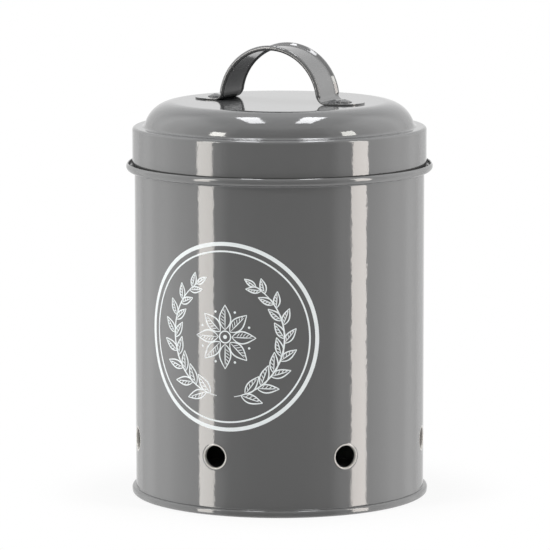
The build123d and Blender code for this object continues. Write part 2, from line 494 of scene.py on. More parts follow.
@dataclass(frozen=True)
class VentEdgeHighlight:
    """Painted highlight: a pale ring round each hole of a row of punched holes, standing for the glint on
    its rounded edge.
    """

    pitch: float
    level: float
    wall_radius: float
    reach: float
    fade: float = 0.2 * MM
    # Pale colour of the painted highlight ring round each hole
    highlight_colour: str = "#bcbab6"

    def share(self, tree: bpy.types.NodeTree, place: bpy.types.NodeSocket) -> bpy.types.Node:
        """Work out how much of the painted highlight shows.

        Args:
            tree: The material's nodes.
            place: The place on the piece.

        Returns:
            The share, from 0 to 1.
        """
        pitch = math.radians(self.pitch)
        parts = add_node(tree, "SeparateXYZ", [place]).outputs
        front = add_node(tree, "Math", [parts["Y"], -1.0], operation="MULTIPLY")
        turn = add_node(tree, "Math", [parts["X"], front], operation="ARCTAN2")
        pitches = add_node(tree, "Math", [turn, pitch], operation="DIVIDE")
        nearest = add_node(tree, "Math", [pitches], operation="ROUND")
        off = add_node(tree, "Math", [pitches, nearest], operation="SUBTRACT")
        along = add_node(tree, "Math", [off, pitch * self.wall_radius], operation="MULTIPLY")
        up = add_node(tree, "Math", [parts["Z"], self.level], operation="SUBTRACT")
        off_middle = add_node(tree, "CombineXYZ", [along, up])
        away = add_node(tree, "VectorMath", [off_middle], operation="LENGTH")
        return add_node(tree, "MapRange", [away, self.reach, self.reach + self.fade, 1.0, 0.0])


@dataclass(frozen=True)
class StovedEnamel:
    """Grey stoving enamel, sprayed on sheet steel and baked.

    A full gloss over a faint orange peel, which makes the edges of each reflection waver, with a few
    dust nibs under the film.  Inside the dull radius the spray arrives as mist, and dries dull.
    """

    name: str
    colour: str = "#4e4f50"
    light_colour: str = "#515253"
    roughness: float = 0.05
    rough_patches: float = 0.09
    ior: float = 1.5
    peel_size: float = 2.3 * MM
    peel_height: float = 0.022 * MM
    nib_spacing: float = 8.0 * MM
    nib_radius: float = 0.22 * MM
    nib_height: float = 0.01 * MM
    patch_size: float = 35.0 * MM
    dull_radius: float = 0.0
    dull_edge: float = 0.6 * MM
    dull_roughness: float = 0.6
    # Painted highlight round the vent edges, when given
    edge_highlight: VentEdgeHighlight | None = None

    def material(self) -> bpy.types.Material:
        """Build the material.

        Returns:
            The material.
        """
        material, tree, place = start_material(self.name)
        patch_pattern = {"Vector": place, "Scale": 1.0 / self.patch_size, "Detail": 3.0}
        patches = add_node(tree, "TexNoise", patch_pattern)
        dark, light = linear(self.colour), linear(self.light_colour)
        shades = {SHARE: patches, FIRST_COLOUR: dark, SECOND_COLOUR: light}
        film = add_node(tree, "Mix", shades, data_type="RGBA")
        gloss = add_node(tree, "MapRange", [patches, *NOISE_SPAN, self.roughness, self.rough_patches])
        level_place = add_node(tree, "VectorMath", [place, (1.0, 1.0, 0.0)], operation="MULTIPLY")
        from_axis = add_node(tree, "VectorMath", [level_place], operation="LENGTH")
        coat = add_node(tree, "MapRange", [from_axis, self.dull_radius - self.dull_edge, self.dull_radius])
        roughness = add_node(tree, "Mix", {"Factor": coat, "A": self.dull_roughness, "B": gloss})
        # Painted highlight: a pale ring round each vent's edge, mixed into the film's colour
        if self.edge_highlight:
            highlight_share = add_node(tree, "Math", [self.edge_highlight.share(tree, place), coat], operation="MULTIPLY")
            shades = {SHARE: highlight_share, FIRST_COLOUR: film, SECOND_COLOUR: linear(self.edge_highlight.highlight_colour)}
            film = add_node(tree, "Mix", shades, data_type="RGBA")
        specks = add_node(tree, "TexVoronoi", {"Vector": place, "Scale": 1.0 / self.nib_spacing})
        nib_fade = [specks, 0.0, self.nib_radius / self.nib_spacing, 1.0, 0.0]
        nibs = add_node(tree, "MapRange", nib_fade, interpolation_type="SMOOTHSTEP")
        nib_bump = add_node(tree, "Bump", {"Distance": self.nib_height, "Height": nibs})
        peel_pattern = {"Vector": place, "Scale": 1.0 / self.peel_size, "Detail": 1.0}
        peel = add_node(tree, "TexNoise", peel_pattern)
        bump = add_node(tree, "Bump", {"Distance": self.peel_height, "Height": peel, "Normal": nib_bump})
        surface = {"Base Color": film, "Roughness": roughness, "IOR": self.ior, "Normal": bump}
        add_node(tree, "OutputMaterial", {"Surface": add_node(tree, "BsdfPrincipled", surface)})
        return material


@dataclass(frozen=True)
class ScreenPrintInk:
    """White two-part ink, screen printed on the enamel: a satin film that is a little uneven."""

    name: str = "screen_print_ink_white"
    colour: str = "#e0e6e9"
    thin_colour: str = "#d6dcdf"
    roughness: float = 0.3
    ior: float = 1.5
    mesh_size: float = 0.6 * MM
    film_height: float = 0.004 * MM

    def material(self) -> bpy.types.Material:
        """Build the material.

        Returns:
            The material.
        """
        material, tree, place = start_material(self.name)
        film = add_node(tree, "TexNoise", {"Vector": place, "Scale": 1.0 / self.mesh_size, "Detail": 2.0})
        shades = {SHARE: film, FIRST_COLOUR: linear(self.thin_colour), SECOND_COLOUR: linear(self.colour)}
        colour = add_node(tree, "Mix", shades, data_type="RGBA")
        bump = add_node(tree, "Bump", {"Distance": self.film_height, "Height": film})
        surface = {"Base Color": colour, "Roughness": self.roughness, "IOR": self.ior, "Normal": bump}
        add_node(tree, "OutputMaterial", {"Surface": add_node(tree, "BsdfPrincipled", surface)})
        return material


@dataclass(frozen=True)
class BareMetal:
    """Bare metal of a small fastener, with the fine marks that its making left."""

    name: str
    colour: str
    roughness: float
    worn_roughness: float
    mark_size: float
    mark_height: float

    def material(self) -> bpy.types.Material:
        """Build the material.

        Returns:
            The material.
        """
        material, tree, place = start_material(self.name)
        marks = add_node(tree, "TexNoise", {"Vector": place, "Scale": 1.0 / self.mark_size, "Detail": 4.0})
        roughness = add_node(tree, "MapRange", [marks, *NOISE_SPAN, self.roughness, self.worn_roughness])
        bump = add_node(tree, "Bump", {"Distance": self.mark_height, "Height": marks})
        metal = {"Base Color": linear(self.colour), "Metallic": 1.0, "Roughness": roughness, "Normal": bump}
        add_node(tree, "OutputMaterial", {"Surface": add_node(tree, "BsdfPrincipled", metal)})
        return material


# The same enamel over a small domed head, where it draws thicker and wavier
RIVET_ENAMEL = StovedEnamel(
    "stoved_enamel_rivet",
    roughness=0.08,
    rough_patches=0.14,
    peel_size=1.7 * MM,
    peel_height=0.016 * MM,
    nib_spacing=3.0 * MM,
)

# Carbon steel wire, snapped in tension: darker, with a torn grain
MANDREL_STEEL = BareMetal(
    "mandrel_steel_snapped",
    colour="#86868a",
    roughness=0.35,
    worn_roughness=0.55,
    mark_size=0.25 * MM,
    mark_height=0.05 * MM,
)


# Canister


@dataclass
class Canister:
    """Rolled wall with a flared rim, seven vents and a folded back seam, and the base seamed to its foot.

    The wall is one sheet: rings are extruded up from the foot and out over the rim, the seam is cut in
    and raised, and each vent is opened in a square patch of the wall.
    """

    sheet: float = 0.4 * MM
    foot_fold: float = 0.8 * MM
    foot_reach: float = 1.65 * MM
    foot_height: float = 3.0 * MM
    foot_top_bend: float = 1.15 * MM
    foot_bottom_bend: float = 1.1 * MM
    pan_rise: float = 3.2 * MM
    rim_bend: float = 1.9 * MM
    rim_lip_angle: float = 51.0
    rim_flare: float = 0.8 * MM
    columns: int = 336
    patch_cells: int = 12
    upper_rows: int = 8
    flare_easing: float = 0.1 * MM
    vent_pitch: float = 52.5
    vent_count: int = 7
    vent_height: float = 24.0 * MM
    vent_radius: float = 4.5 * MM
    vent_edge: float = 0.5 * MM
    vent_depth: float = 1.6 * MM
    lip_reach: float = 0.75 * MM
    lip_height: float = 0.14 * MM
    # Reach of the painted highlight ring beyond each vent's edge
    highlight_reach: float = 0.6 * MM
    seam_width: float = 6.0 * MM
    seam_raise: float = 0.4 * MM
    seam_slope: float = 0.5 * MM
    turns: int = 288

    def __post_init__(self) -> None:
        """Take the main radii and levels from the frame."""
        shell_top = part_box("body_shell")[1]
        self.foot_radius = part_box("base_pan")[1].x
        self.wall_radius = self.foot_radius - self.foot_reach
        lip = math.radians(self.rim_lip_angle)
        self.rim_centre = (shell_top.x - self.rim_bend, shell_top.z - self.rim_bend * math.sin(lip))
        self.wall_top = self.rim_path()[0][1]
        self.cell = FULL_TURN * self.wall_radius / self.columns
        self.half_patch = self.patch_cells / 2 * self.cell
        self.seam_foot = self.foot_height
        self.seam_top = self.wall_top - self.rim_flare

    def rim_path(self) -> list[Point]:
        """Draw the line from the top of the wall, through the flare, round the half-round rim.

        Returns:
            Radius and height of each point.
        """
        flare_across = self.wall_radius + self.rim_flare
        reach = self.rim_bend + self.rim_flare
        rise = math.sqrt(reach**2 - (self.rim_centre[0] - flare_across) ** 2)
        flare = (flare_across, self.rim_centre[1] - rise)
        meeting = math.degrees(math.atan2(rise, self.rim_centre[0] - flare_across))
        bend = arc(self.rim_centre, self.rim_bend, meeting - 180.0, self.rim_lip_angle, 6.0)
        return arc(flare, self.rim_flare, 180.0, meeting, 9.0) + bend[1:]

    def wall_levels(self) -> list[float]:
        """Choose the heights of the wall's rings, close together beside the vents and seam ends.

        Returns:
            Heights from the foot to the flare.
        """
        patch_foot = self.vent_height - self.half_patch
        patch_top = self.vent_height + self.half_patch
        row = (self.seam_top - self.seam_slope - patch_top) / self.upper_rows
        levels = [self.foot_fold, self.seam_foot, self.seam_foot + self.seam_slope]
        levels += [patch_foot + self.cell * i for i in range(self.patch_cells + 1)]
        levels += [patch_top + row * i for i in range(1, self.upper_rows + 1)]
        return levels + [self.seam_top, self.wall_top - self.flare_easing, self.wall_top]

    def raise_seam(self, piece: bpy.types.Object) -> None:
        """Cut the folded seam's edges into the back of the wall and raise the band between them.

        Args:
            piece: The wall, in edit mode.
        """
        half = self.seam_width / 2
        for side in (-1, 1):
            for share in (0.0, 0.25, 0.5, 0.75, 1.0):
                cut = side * (half - self.seam_slope * share)
                pick_faces(piece, lambda middle: middle.y > 0 and abs(middle.x) < self.seam_width)
                bpy.ops.mesh.bisect(plane_co=(cut, 0.0, 0.0), plane_no=AXIS_X)

        def raised(point: Vector) -> Vector:
            """Raise a point of the band, which slopes down to the wall all round.

            Args:
                point: Its place on the plain wall.

            Returns:
                Its place on the band.
            """
            inward = min(half - abs(point.x), point.z - self.seam_foot, self.seam_top - point.z)
            rise = self.seam_raise * smooth_step(inward / self.seam_slope)
            return point + Vector((point.x, point.y, 0.0)).normalized() * rise

        def on_band(vertex: bmesh.types.BMVert) -> bool:
            """Tell whether a vertex is on the band."""
            across, back, up = vertex.co
            return back > 0 and abs(across) < half + TOLERANCE and self.seam_foot < up < self.seam_top

        pick_points(piece, on_band)
        shift_points(piece, raised)

    def vent_rings(self) -> list[Point]:
        """Draw the section of a vent's edge: a low lip, a rounded edge and an inward flange.

        Returns:
            Radius of each ring of the section, and its depth inside the wall.
        """
        outer = self.vent_radius + self.vent_edge
        flat = outer + self.lip_reach
        rings = [(flat, 0.0), (flat - 0.15 * MM, 0.0)]
        for share in (0.25, 0.5, 0.75):
            rings.append((flat - self.lip_reach * share, -self.lip_height * share * share))
        edge_centre = (outer, self.lip_height - self.vent_edge)
        rings += [(across, -level) for across, level in arc(edge_centre, self.vent_edge, 90.0, 180.0, 10.0)]
        return rings + [(self.vent_radius, self.vent_depth)]

    def open_vents(self, piece: bpy.types.Object) -> None:
        """Open the vents, each from a square patch of the wall to the rings of its edge.

        Args:
            piece: The wall, in edit mode.
        """
        pitch = math.radians(self.vent_pitch)
        last_vent = (self.vent_count - 1) // 2

        def vent_turn(point: Vector) -> float:
            """Give the azimuth of the nearest vent, from -Y towards +X."""
            azimuth = math.atan2(point.x, -point.y)
            return max(-last_vent, min(last_vent, round(azimuth / pitch))) * pitch

        def off_vent(point: Vector) -> tuple[float, float]:
            """Give the distance along the wall and up from the middle of the nearest vent."""
            along = (math.atan2(point.x, -point.y) - vent_turn(point)) * self.wall_radius
            return along, point.z - self.vent_height

        def in_patch(middle: Vector) -> bool:
            """Tell whether a face is in the patch of the nearest vent."""
            return max(abs(distance) for distance in off_vent(middle)) < self.half_patch

        def on_ring(point: Vector, reach: float, depth: float, on_square: bool) -> Vector:
            """Work out where a point of the last ring goes on the next one.

            Args:
                point: The point's present place.
                reach: Radius of the next ring.
                depth: Its depth inside the wall.
                on_square: Whether the point is still on the edge of the square patch.

            Returns:
                The point's new place.
            """
            along, up = off_vent(point)
            if not on_square:
                angle = math.atan2(up, along)
            elif abs(along) >= abs(up):
                angle = math.pi / 4 * up / abs(along)
                angle = angle if along > 0 else math.pi - angle
            else:
                angle = math.pi / 2 - math.pi / 4 * along / abs(up)
                angle = angle if up > 0 else -angle
            across = reach * math.cos(angle)
            outward = math.sqrt(self.wall_radius**2 - across**2) - depth
            place = Matrix.Rotation(vent_turn(point), 3, "Z") @ Vector((across, -outward, 0.0))
            place.z = self.vent_height + reach * math.sin(angle)
            return place

        pick_faces(piece, in_patch)
        bpy.ops.mesh.delete(type="FACE")
        foot, top = 2.0 * self.foot_height, 2.0 * self.vent_height
        pick_points(piece, lambda v: v.is_boundary and foot < v.co.z < top)
        for number, (reach, depth) in enumerate(self.vent_rings()):
            extrude_by(Vector())
            shift_points(piece, lambda point: on_ring(point, reach, depth, on_square=number == 0))

    def build_wall(self) -> bpy.types.Object:
        """Model the wall, rim, seam and vents as one sheet.

        Returns:
            The wall.
        """
        sizes = {"vertices": self.columns, "radius": self.wall_radius, "fill_type": "NOTHING"}
        piece = add_primitive("canister_wall", bpy.ops.mesh.primitive_circle_add, **sizes)
        levels = self.wall_levels()
        with editing(piece):
            bpy.ops.transform.translate(value=(0.0, 0.0, levels[0]))
            carry_ring([(self.wall_radius, level) for level in levels])
            carry_ring(self.rim_path())
            self.raise_seam(piece)
            self.open_vents(piece)
        face_outwards(piece)
        thicken(piece, self.sheet)
        return piece

    def build_base(self) -> bpy.types.Object:
        """Model the base: a raised disc whose edge is folded up round the foot of the wall.

        Returns:
            The base.
        """
        inner = self.wall_radius - self.sheet
        wall, foot = self.wall_radius, self.foot_radius
        fold_inside = inner - self.sheet
        outline = rounded(
            [
                (0.0, self.pan_rise, 0.0),
                (fold_inside, self.pan_rise, 0.5 * MM),
                (fold_inside, 0.0, 0.3 * MM),
                (foot, 0.0, self.foot_bottom_bend),
                (foot, self.foot_height, self.foot_top_bend),
                (wall + 0.04 * MM, self.foot_height + 0.05 * MM, 0.3 * MM),
                (wall, self.foot_height + 0.55 * MM, 0.0),
                (wall, self.foot_fold, 0.0),
                (inner, self.foot_fold, 0.0),
                (inner, self.pan_rise + self.sheet, 0.4 * MM),
                (0.0, self.pan_rise + self.sheet, 0.0),
            ],
            easing=0.03 * MM,
        )
        return lathe("canister_base", outline, self.turns)

    def build(self) -> None:
        """Build and dress the canister's pieces."""
        # The body's enamel gets a painted highlight: a pale ring round each vent's edge
        reach = self.vent_radius + self.highlight_reach
        edge = VentEdgeHighlight(self.vent_pitch, self.vent_height, self.wall_radius, reach)
        inside = self.wall_radius - 2.0 * self.sheet
        paint = StovedEnamel("stoved_enamel_body", dull_radius=inside, edge_highlight=edge).material()
        finish_piece(self.build_wall(), paint, Body.CANISTER, ["body_shell"])
        finish_piece(self.build_base(), paint, Body.CANISTER, ["base_pan"])


# Badge


@dataclass
class Badge:
    """Round print on the front: a double ring round a wreath of leaves and a rosette, in pen strokes.

    Places on the badge are across and up from its middle, along the wall's surface.
    """

    wall_radius: float
    ink: ScreenPrintInk = ScreenPrintInk()
    azimuth: float = 4.5
    height: float = 73.4 * MM
    film: float = 0.04 * MM
    ring_radius: float = 37.8 * MM
    ring_width: float = 1.6 * MM
    inner_ring_radius: float = 34.8 * MM
    inner_ring_width: float = 0.7 * MM
    ring_faces: int = 240
    stroke_width: float = 0.55 * MM
    stroke_tip: float = 0.06
    wreath_radius: float = 24.5 * MM
    wreath_start: float = 9.0
    wreath_end: float = 148.0
    stem_steps: int = 40
    leaf_length: float = 9.5 * MM
    leaf_fullness: float = 0.21
    leaf_lean: float = 0.62
    leaf_pairs: int = 8
    petal_length: float = 10.0 * MM
    petal_fullness: float = 0.27
    petals: int = 8
    heart_faces: int = 40
    dot_radius: float = 0.5 * MM
    dot_sides: int = 16

    def __post_init__(self) -> None:
        """Start an empty drawing."""
        self.drawing = bmesh.new()

    def mark(self, places: Sequence[Vector]) -> list[bmesh.types.BMVert]:
        """Add vertices at places on the badge."""
        return [self.drawing.verts.new((place.x, place.y, 0.0)) for place in places]

    def circle(self, middle: Vector, radius: float, count: int) -> list[Vector]:
        """Give places evenly round a circle.

        Args:
            middle: Middle of the circle.
            radius: Radius of the circle.
            count: Number of places.

        Returns:
            The places, anticlockwise from across.
        """
        turns = [FULL_TURN * i / count for i in range(count)]
        return [middle + Vector((math.cos(turn), math.sin(turn))) * radius for turn in turns]

    def stroke(self, points: Sequence[Vector], width: float, taper: float) -> None:
        """Draw one pen stroke as a strip of faces.

        Args:
            points: Places along the stroke.
            width: Width at its middle.
            taper: How far the width falls off towards the ends, from none to all.
        """
        last = len(points) - 1
        edge: list[bmesh.types.BMVert] = []
        for i, point in enumerate(points):
            ahead = points[min(i + 1, last)] - points[max(i - 1, 0)]
            side = Vector((-ahead.y, ahead.x)).normalized()
            swell = math.sin(math.pi * (self.stroke_tip + (1.0 - 2.0 * self.stroke_tip) * i / last))
            half = side * width * (1.0 - taper * (1.0 - swell)) / 2
            corners = self.mark([point + half, point - half])
            if edge:
                self.drawing.faces.new((edge[1], corners[1], corners[0], edge[0]))
            edge = corners

    def ring(self, radius: float, width: float, count: int) -> None:
        """Draw a ring round the badge's middle.

        Args:
            radius: Radius of its centre line.
            width: Width of the line.
            count: Number of faces.
        """
        middle = Vector((0.0, 0.0))
        outer, inner = (self.circle(middle, radius + half, count) for half in (width / 2, -width / 2))
        rows = [self.mark(pair) for pair in zip(outer, inner)]
        for here, there in zip(rows, rows[1:] + rows[:1]):
            self.drawing.faces.new((here[1], here[0], there[0], there[1]))

    def dot(self, middle: Vector, radius: float) -> None:
        """Draw a filled dot."""
        self.drawing.faces.new(self.mark(self.circle(middle, radius, self.dot_sides)))

    def leaf(self, foot: Vector, heading: float, length: float, fullness: float, hatches: int) -> None:
        """Draw a leaf or petal: two curved edges, a midrib and hatching on one half.

        Args:
            foot: Where the leaf leaves its stem.
            heading: Direction of its midrib, in radians.
            length: Length from foot to tip.
            fullness: Half-width as a share of the length.
            hatches: Number of hatch strokes.
        """
        turn = Matrix.Rotation(heading, 2)

        def line(first: Point, last: Point, steps: int) -> list[Vector]:
            """Draw a line on the leaf.

            Args:
                first: Where it starts, as a share of the leaf's length and of its half-width there.
                last: Where it ends.
                steps: Number of steps from start to end.

            Returns:
                The places along the line.
            """
            places = []
            for i in range(steps + 1):
                along, side = (a + (b - a) * i / steps for a, b in zip(first, last))
                swell = math.sin(math.pi * along**0.85) * (1.0 - 0.2 * along)
                places.append(foot + turn @ Vector((along * length, side * fullness * length * swell)))
            return places

        edge, rib, hatch = (share * self.stroke_width for share in (1.0, 0.8, 0.6))
        for side in (-1.0, 1.0):
            self.stroke(line((0.0, side), (1.0, side), steps=12), edge, taper=0.5)
        self.stroke(line((0.05, 0.0), (0.85, 0.0), steps=8), rib, taper=0.9)
        for i in range(hatches):
            start = 0.2 + 0.52 * i / (hatches - 1)
            self.stroke(line((start, 0.12), (start + 0.12, 0.78), steps=3), hatch, taper=0.8)

    def sprig(self, side: int) -> None:
        """Draw one half of the wreath, from the foot up round one side.

        Args:
            side: -1 for the left half, 1 for the right.
        """
        start, end = math.radians(self.wreath_start), math.radians(self.wreath_end)

        def on_stem(share: float) -> Vector:
            """Give the place at a share of the stem's length."""
            angle = start + (end - start) * share
            return Vector((side * math.sin(angle), -math.cos(angle))) * self.wreath_radius

        stem = [on_stem(i / self.stem_steps) for i in range(self.stem_steps + 1)]
        self.stroke(stem, 1.2 * self.stroke_width, taper=0.7)
        for i in range(self.leaf_pairs):
            share = (i + 0.4) / self.leaf_pairs
            ahead = on_stem(share + 0.02) - on_stem(share)
            along = math.atan2(ahead.y, ahead.x)
            length = self.leaf_length * (1.0 - 0.35 * share)
            for lean, shift in ((-self.leaf_lean, 0.0), (self.leaf_lean, 0.25 / self.leaf_pairs)):
                self.leaf(on_stem(share + shift), along + lean, length, self.leaf_fullness, hatches=4)
        ahead = on_stem(1.0) - on_stem(0.98)
        heading = math.atan2(ahead.y, ahead.x)
        self.leaf(on_stem(1.0), heading, 0.6 * self.leaf_length, fullness=0.2, hatches=3)

    def rosette(self) -> None:
        """Draw the rosette in the middle, with a dot between each two petals."""
        heart = 0.24 * self.petal_length
        self.ring(heart, self.stroke_width, self.heart_faces)
        self.dot(Vector((0.0, 0.0)), 0.35 * heart)
        for i in range(self.petals):
            heading = FULL_TURN * i / self.petals + math.pi / 2
            away = Vector((math.cos(heading), math.sin(heading)))
            self.leaf(away * 1.25 * heart, heading, self.petal_length, self.petal_fullness, hatches=5)
            between = heading + math.pi / self.petals
            place = Vector((math.cos(between), math.sin(between))) * 1.1 * self.petal_length
            self.dot(place, self.dot_radius)

    def build(self) -> None:
        """Draw the badge flat, lay it on the wall, give it the thickness of ink and dress it."""
        self.ring(self.ring_radius, self.ring_width, self.ring_faces)
        self.ring(self.inner_ring_radius, self.inner_ring_width, self.ring_faces)
        self.sprig(-1)
        self.sprig(1)
        self.rosette()
        away = self.wall_radius + self.film
        for vertex in self.drawing.verts:
            angle = math.radians(self.azimuth) + vertex.co.x / self.wall_radius
            up = self.height + vertex.co.y
            vertex.co = Vector((away * math.sin(angle), -away * math.cos(angle), up))
        self.drawing.normal_update()
        mesh = bpy.data.meshes.new("badge_print")
        self.drawing.to_mesh(mesh)
        self.drawing.free()
        piece = bpy.data.objects.new("badge_print", mesh)
        bpy.context.scene.collection.objects.link(piece)
        thicken(piece, 0.9 * self.film)
        finish_piece(piece, self.ink.material(), Body.CANISTER)


# Lid


@dataclass
class LidCover:
    """Drawn lid with skirt, shoulder, ledge and flat-topped crown, and the plug ring welded inside it."""

    rivet_places: Sequence[Vector]
    paint: bpy.types.Material
    sheet: float = LID_SHEET
    shoulder: float = 1.4 * MM
    ledge_width: float = 5.0 * MM
    crown_rise: float = 10.35 * MM
    crown_bend: float = 12.7 * MM
    crown_foot_bend: float = 1.5 * MM
    plug_lip: float = 1.3 * MM
    plug_bend: float = 0.45 * MM
    plug_gap: float = 0.9 * MM
    jog_foot: float = 1.5 * MM
    jog_rise: float = 1.2 * MM
    easing: float = 0.1 * MM
    turns: int = 288

    def cover_outline(self) -> list[Point]:
        """Draw the cover's outer line: skirt, shoulder, ledge, and a crown that is one arc to the top.

        Returns:
            Radius and height of each point.
        """
        low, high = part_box("lid_shell")
        skirt, top = high.x, high.z
        ledge = top - self.crown_rise
        crown_centre_up = top - self.crown_bend
        crown_level = ledge - crown_centre_up
        crown_across = skirt - self.ledge_width - math.sqrt(self.crown_bend**2 - crown_level**2)
        reach = self.crown_bend + self.crown_foot_bend
        meeting = math.asin((crown_level + self.crown_foot_bend) / reach)
        foot_across = crown_across + reach * math.cos(meeting)
        turn = math.degrees(meeting)
        skirt_corners = [
            (skirt, low.z, 0.0),
            (skirt, ledge, self.shoulder),
            (foot_across + self.easing, ledge, 0.0),
        ]
        return [
            *rounded(skirt_corners, self.easing),
            *arc((foot_across, ledge + self.crown_foot_bend), self.crown_foot_bend, -90.0, turn - 180.0),
            *arc((crown_across, crown_centre_up), self.crown_bend, turn, 90.0, 3.0)[1:],
            (crown_across - self.easing, top),
            (0.0, top),
        ]

    def build_cover(self) -> bpy.types.Object:
        """Model the drawn cover.

        Returns:
            The cover.
        """
        piece = lathe("lid_cover", self.cover_outline(), self.turns)
        thicken(piece, self.sheet)
        drill(piece, self.rivet_places, RIVET_HOLE, 4.0 * self.sheet)
        return piece

    def build_plug(self) -> bpy.types.Object:
        """Model the plug ring.

        Returns:
            The ring.
        """
        low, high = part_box("lid_plug_ring")
        skirt_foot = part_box("lid_shell")[0].z
        band = high.x
        plug = band - self.sheet - self.plug_gap
        outline = rounded(
            [
                (plug - self.plug_lip, low.z, 0.0),
                (plug, low.z, self.plug_bend),
                (plug, skirt_foot + self.jog_foot, self.plug_bend),
                (band, skirt_foot + self.jog_foot + self.jog_rise, self.plug_bend),
                (band, high.z, 0.0),
            ],
            easing=self.easing,
        )
        piece = lathe("lid_plug", outline, self.turns)
        thicken(piece, self.sheet)
        return piece

    def build(self) -> None:
        """Build and dress the cover and the plug ring."""
        finish_piece(self.build_cover(), self.paint, Body.LID, ["lid_shell"])
        finish_piece(self.build_plug(), self.paint, Body.LID, ["lid_plug_ring"])


@dataclass
class Handle:
    """Strap handle: an arch of sheet with rolled edges, which flatten out at the bends into round feet."""

    rivet_places: Sequence[Vector]
    paint: bpy.types.Material
    sheet: float = STRAP_SHEET
    bead: float = 1.05 * MM
    bead_proud: float = 1.0 * MM
    flank_bend: float = 1.0 * MM
    flank_slope: float = 36.5
    bend: float = 3.2 * MM
    arch_rise: float = 0.25 * MM
    roll_out: float = 62.0
    foot_half_width: float = 9.7 * MM
    foot_turn: float = 87.0
    arch_steps: int = 56
    bend_steps: int = 18
    foot_steps: int = 14

    def __post_init__(self) -> None:
        """Take the arch, bends and feet from the frame."""
        low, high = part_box("handle_strap")
        self.lid_top = low.z
        self.tip = high.x
        self.half_width = high.y
        self.arch_centre = self.lid_top + self.arch_rise
        self.panel = high.z - self.arch_centre - self.bead_proud
        rise = self.lid_top + self.sheet + self.bend - self.arch_centre
        self.leg_angle = math.asin(rise / (self.panel + self.bend))
        self.bend_across = math.sqrt((self.panel + self.bend) ** 2 - rise**2)
        self.bend_up = self.arch_centre + rise

    def outer_flank(self, bead_up: float) -> tuple[list[Point], float]:
        """Draw the flank of the outer face, which rises from a hollow straight up to the rolled edge.

        Args:
            bead_up: Distance of the rolled edge's middle from the arch's centre.

        Returns:
            The flank's points from the panel outwards, and the angle on the rolled edge where it ends.
        """
        slope = math.radians(self.flank_slope)
        hollow = self.flank_bend
        meeting = (
            self.half_width - self.bead - self.bead * math.sin(slope),
            bead_up + self.bead * math.cos(slope),
        )
        start = self.panel + hollow * (1.0 - math.cos(slope))
        run = (meeting[1] - start) / math.tan(slope)
        middle = (meeting[0] - run - hollow * math.sin(slope), self.panel + hollow)
        points = arc(middle, hollow, -90.0, self.flank_slope - 90.0, 6.0)
        return points + [meeting], 90.0 + self.flank_slope

    def inner_flank(self, bead_up: float) -> tuple[list[Point], float]:
        """Draw the hollow flank of the inner face, which leads down to the rolled edge.

        Args:
            bead_up: Distance of the rolled edge's middle from the arch's centre.

        Returns:
            The flank's points from the panel outwards, and the angle on the rolled edge where it ends.
        """
        reach = self.bead + self.flank_bend
        middle_up = self.panel - self.sheet - self.flank_bend
        rise = middle_up - bead_up
        run = math.sqrt(reach**2 - rise**2)
        across = self.half_width - self.bead
        meeting = math.degrees(math.atan2(rise, -run))
        points = arc((across - run, middle_up), self.flank_bend, 90.0, meeting + 180.0, 6.0)
        return points, meeting % 360.0

    def section(self) -> list[Point]:
        """Draw the strap's section at the top of the arch.

        Returns:
            Place along Y and distance from the arch's centre of each point, once round.
        """
        across = self.half_width - self.bead
        up = self.panel + self.bead_proud - self.bead
        outer, top_end = self.outer_flank(up)
        inner, foot_end = self.inner_flank(up)
        bead = arc((across, up), self.bead, top_end, foot_end - 360.0, 12.0)
        right = outer + bead[1:-1] + inner[::-1]
        left = [(-y, z) for y, z in reversed(right)]
        shares = (0.97, 0.5, 0.0, -0.5, -0.97)
        top = [(-outer[0][0] * share, self.panel) for share in shares]
        foot = [(inner[0][0] * share, self.panel - self.sheet) for share in shares]
        return top + right + foot + left

    def flatten(self, point: Vector) -> Vector:
        """Let the rolled edges run out into flat sheet as the strap goes round its bend.

        Args:
            point: Place of a vertex in the bend.

        Returns:
            Its place on the flattened section.
        """
        from_centre = Vector((point.x - self.bend_across, 0.0, point.z - self.bend_up))
        turned = math.atan2(-from_centre.z, -from_centre.x) + self.leg_angle
        share = smooth_step(turned / math.radians(self.roll_out))
        middle = self.bend + self.sheet / 2
        off = from_centre.length - middle
        flat = max(-self.sheet / 2, min(self.sheet / 2, off))
        distance = middle + off * (1.0 - share) + flat * share
        from_centre *= distance / from_centre.length
        across = point.y * (1.0 + share * (self.foot_half_width / self.half_width - 1.0))
        return Vector((self.bend_across + from_centre.x, across, self.bend_up + from_centre.z))

    def extrude_foot(self) -> None:
        """Extrude the selected end of the strap along the lid and round its half-round foot."""
        extrude_by((self.tip - self.foot_half_width - self.bend_across, 0.0, 0.0))
        along, width = 0.0, 1.0
        for i in range(1, self.foot_steps + 1):
            angle = math.radians(self.foot_turn) * i / self.foot_steps
            extrude_by((self.foot_half_width * (math.sin(angle) - along), 0.0, 0.0))
            scale = math.cos(angle) / width
            bpy.ops.transform.resize(value=(1.0, scale, 1.0), center_override=ORIGIN)
            along, width = math.sin(angle), math.cos(angle)
        bpy.ops.mesh.edge_face_add()

    def build_strap(self) -> bpy.types.Object:
        """Model the right half of the strap from its section, then mirror it.

        Returns:
            The strap.
        """
        section = self.section()
        sizes = {"vertices": len(section), "radius": self.half_width}
        piece = add_primitive("lid_handle", bpy.ops.mesh.primitive_circle_add, **sizes)
        for vertex, (across, up) in zip(piece.data.vertices, section):
            vertex.co = (0.0, across, self.arch_centre + up)
        sweep = math.pi / 2 - self.leg_angle
        arch_axis = (0.0, 0.0, self.arch_centre)
        bend_axis = Vector((self.bend_across, 0.0, self.bend_up))
        leg = Vector((math.cos(self.leg_angle), 0.0, math.sin(self.leg_angle)))
        across_leg = Vector((-leg.z, 0.0, leg.x))

        def in_bend(vertex: bmesh.types.BMVert) -> bool:
            """Tell whether a vertex has left the arch and is in the bend."""
            off = vertex.co - bend_axis
            return off.dot(across_leg) < -TOLERANCE and off.dot(leg) < TOLERANCE

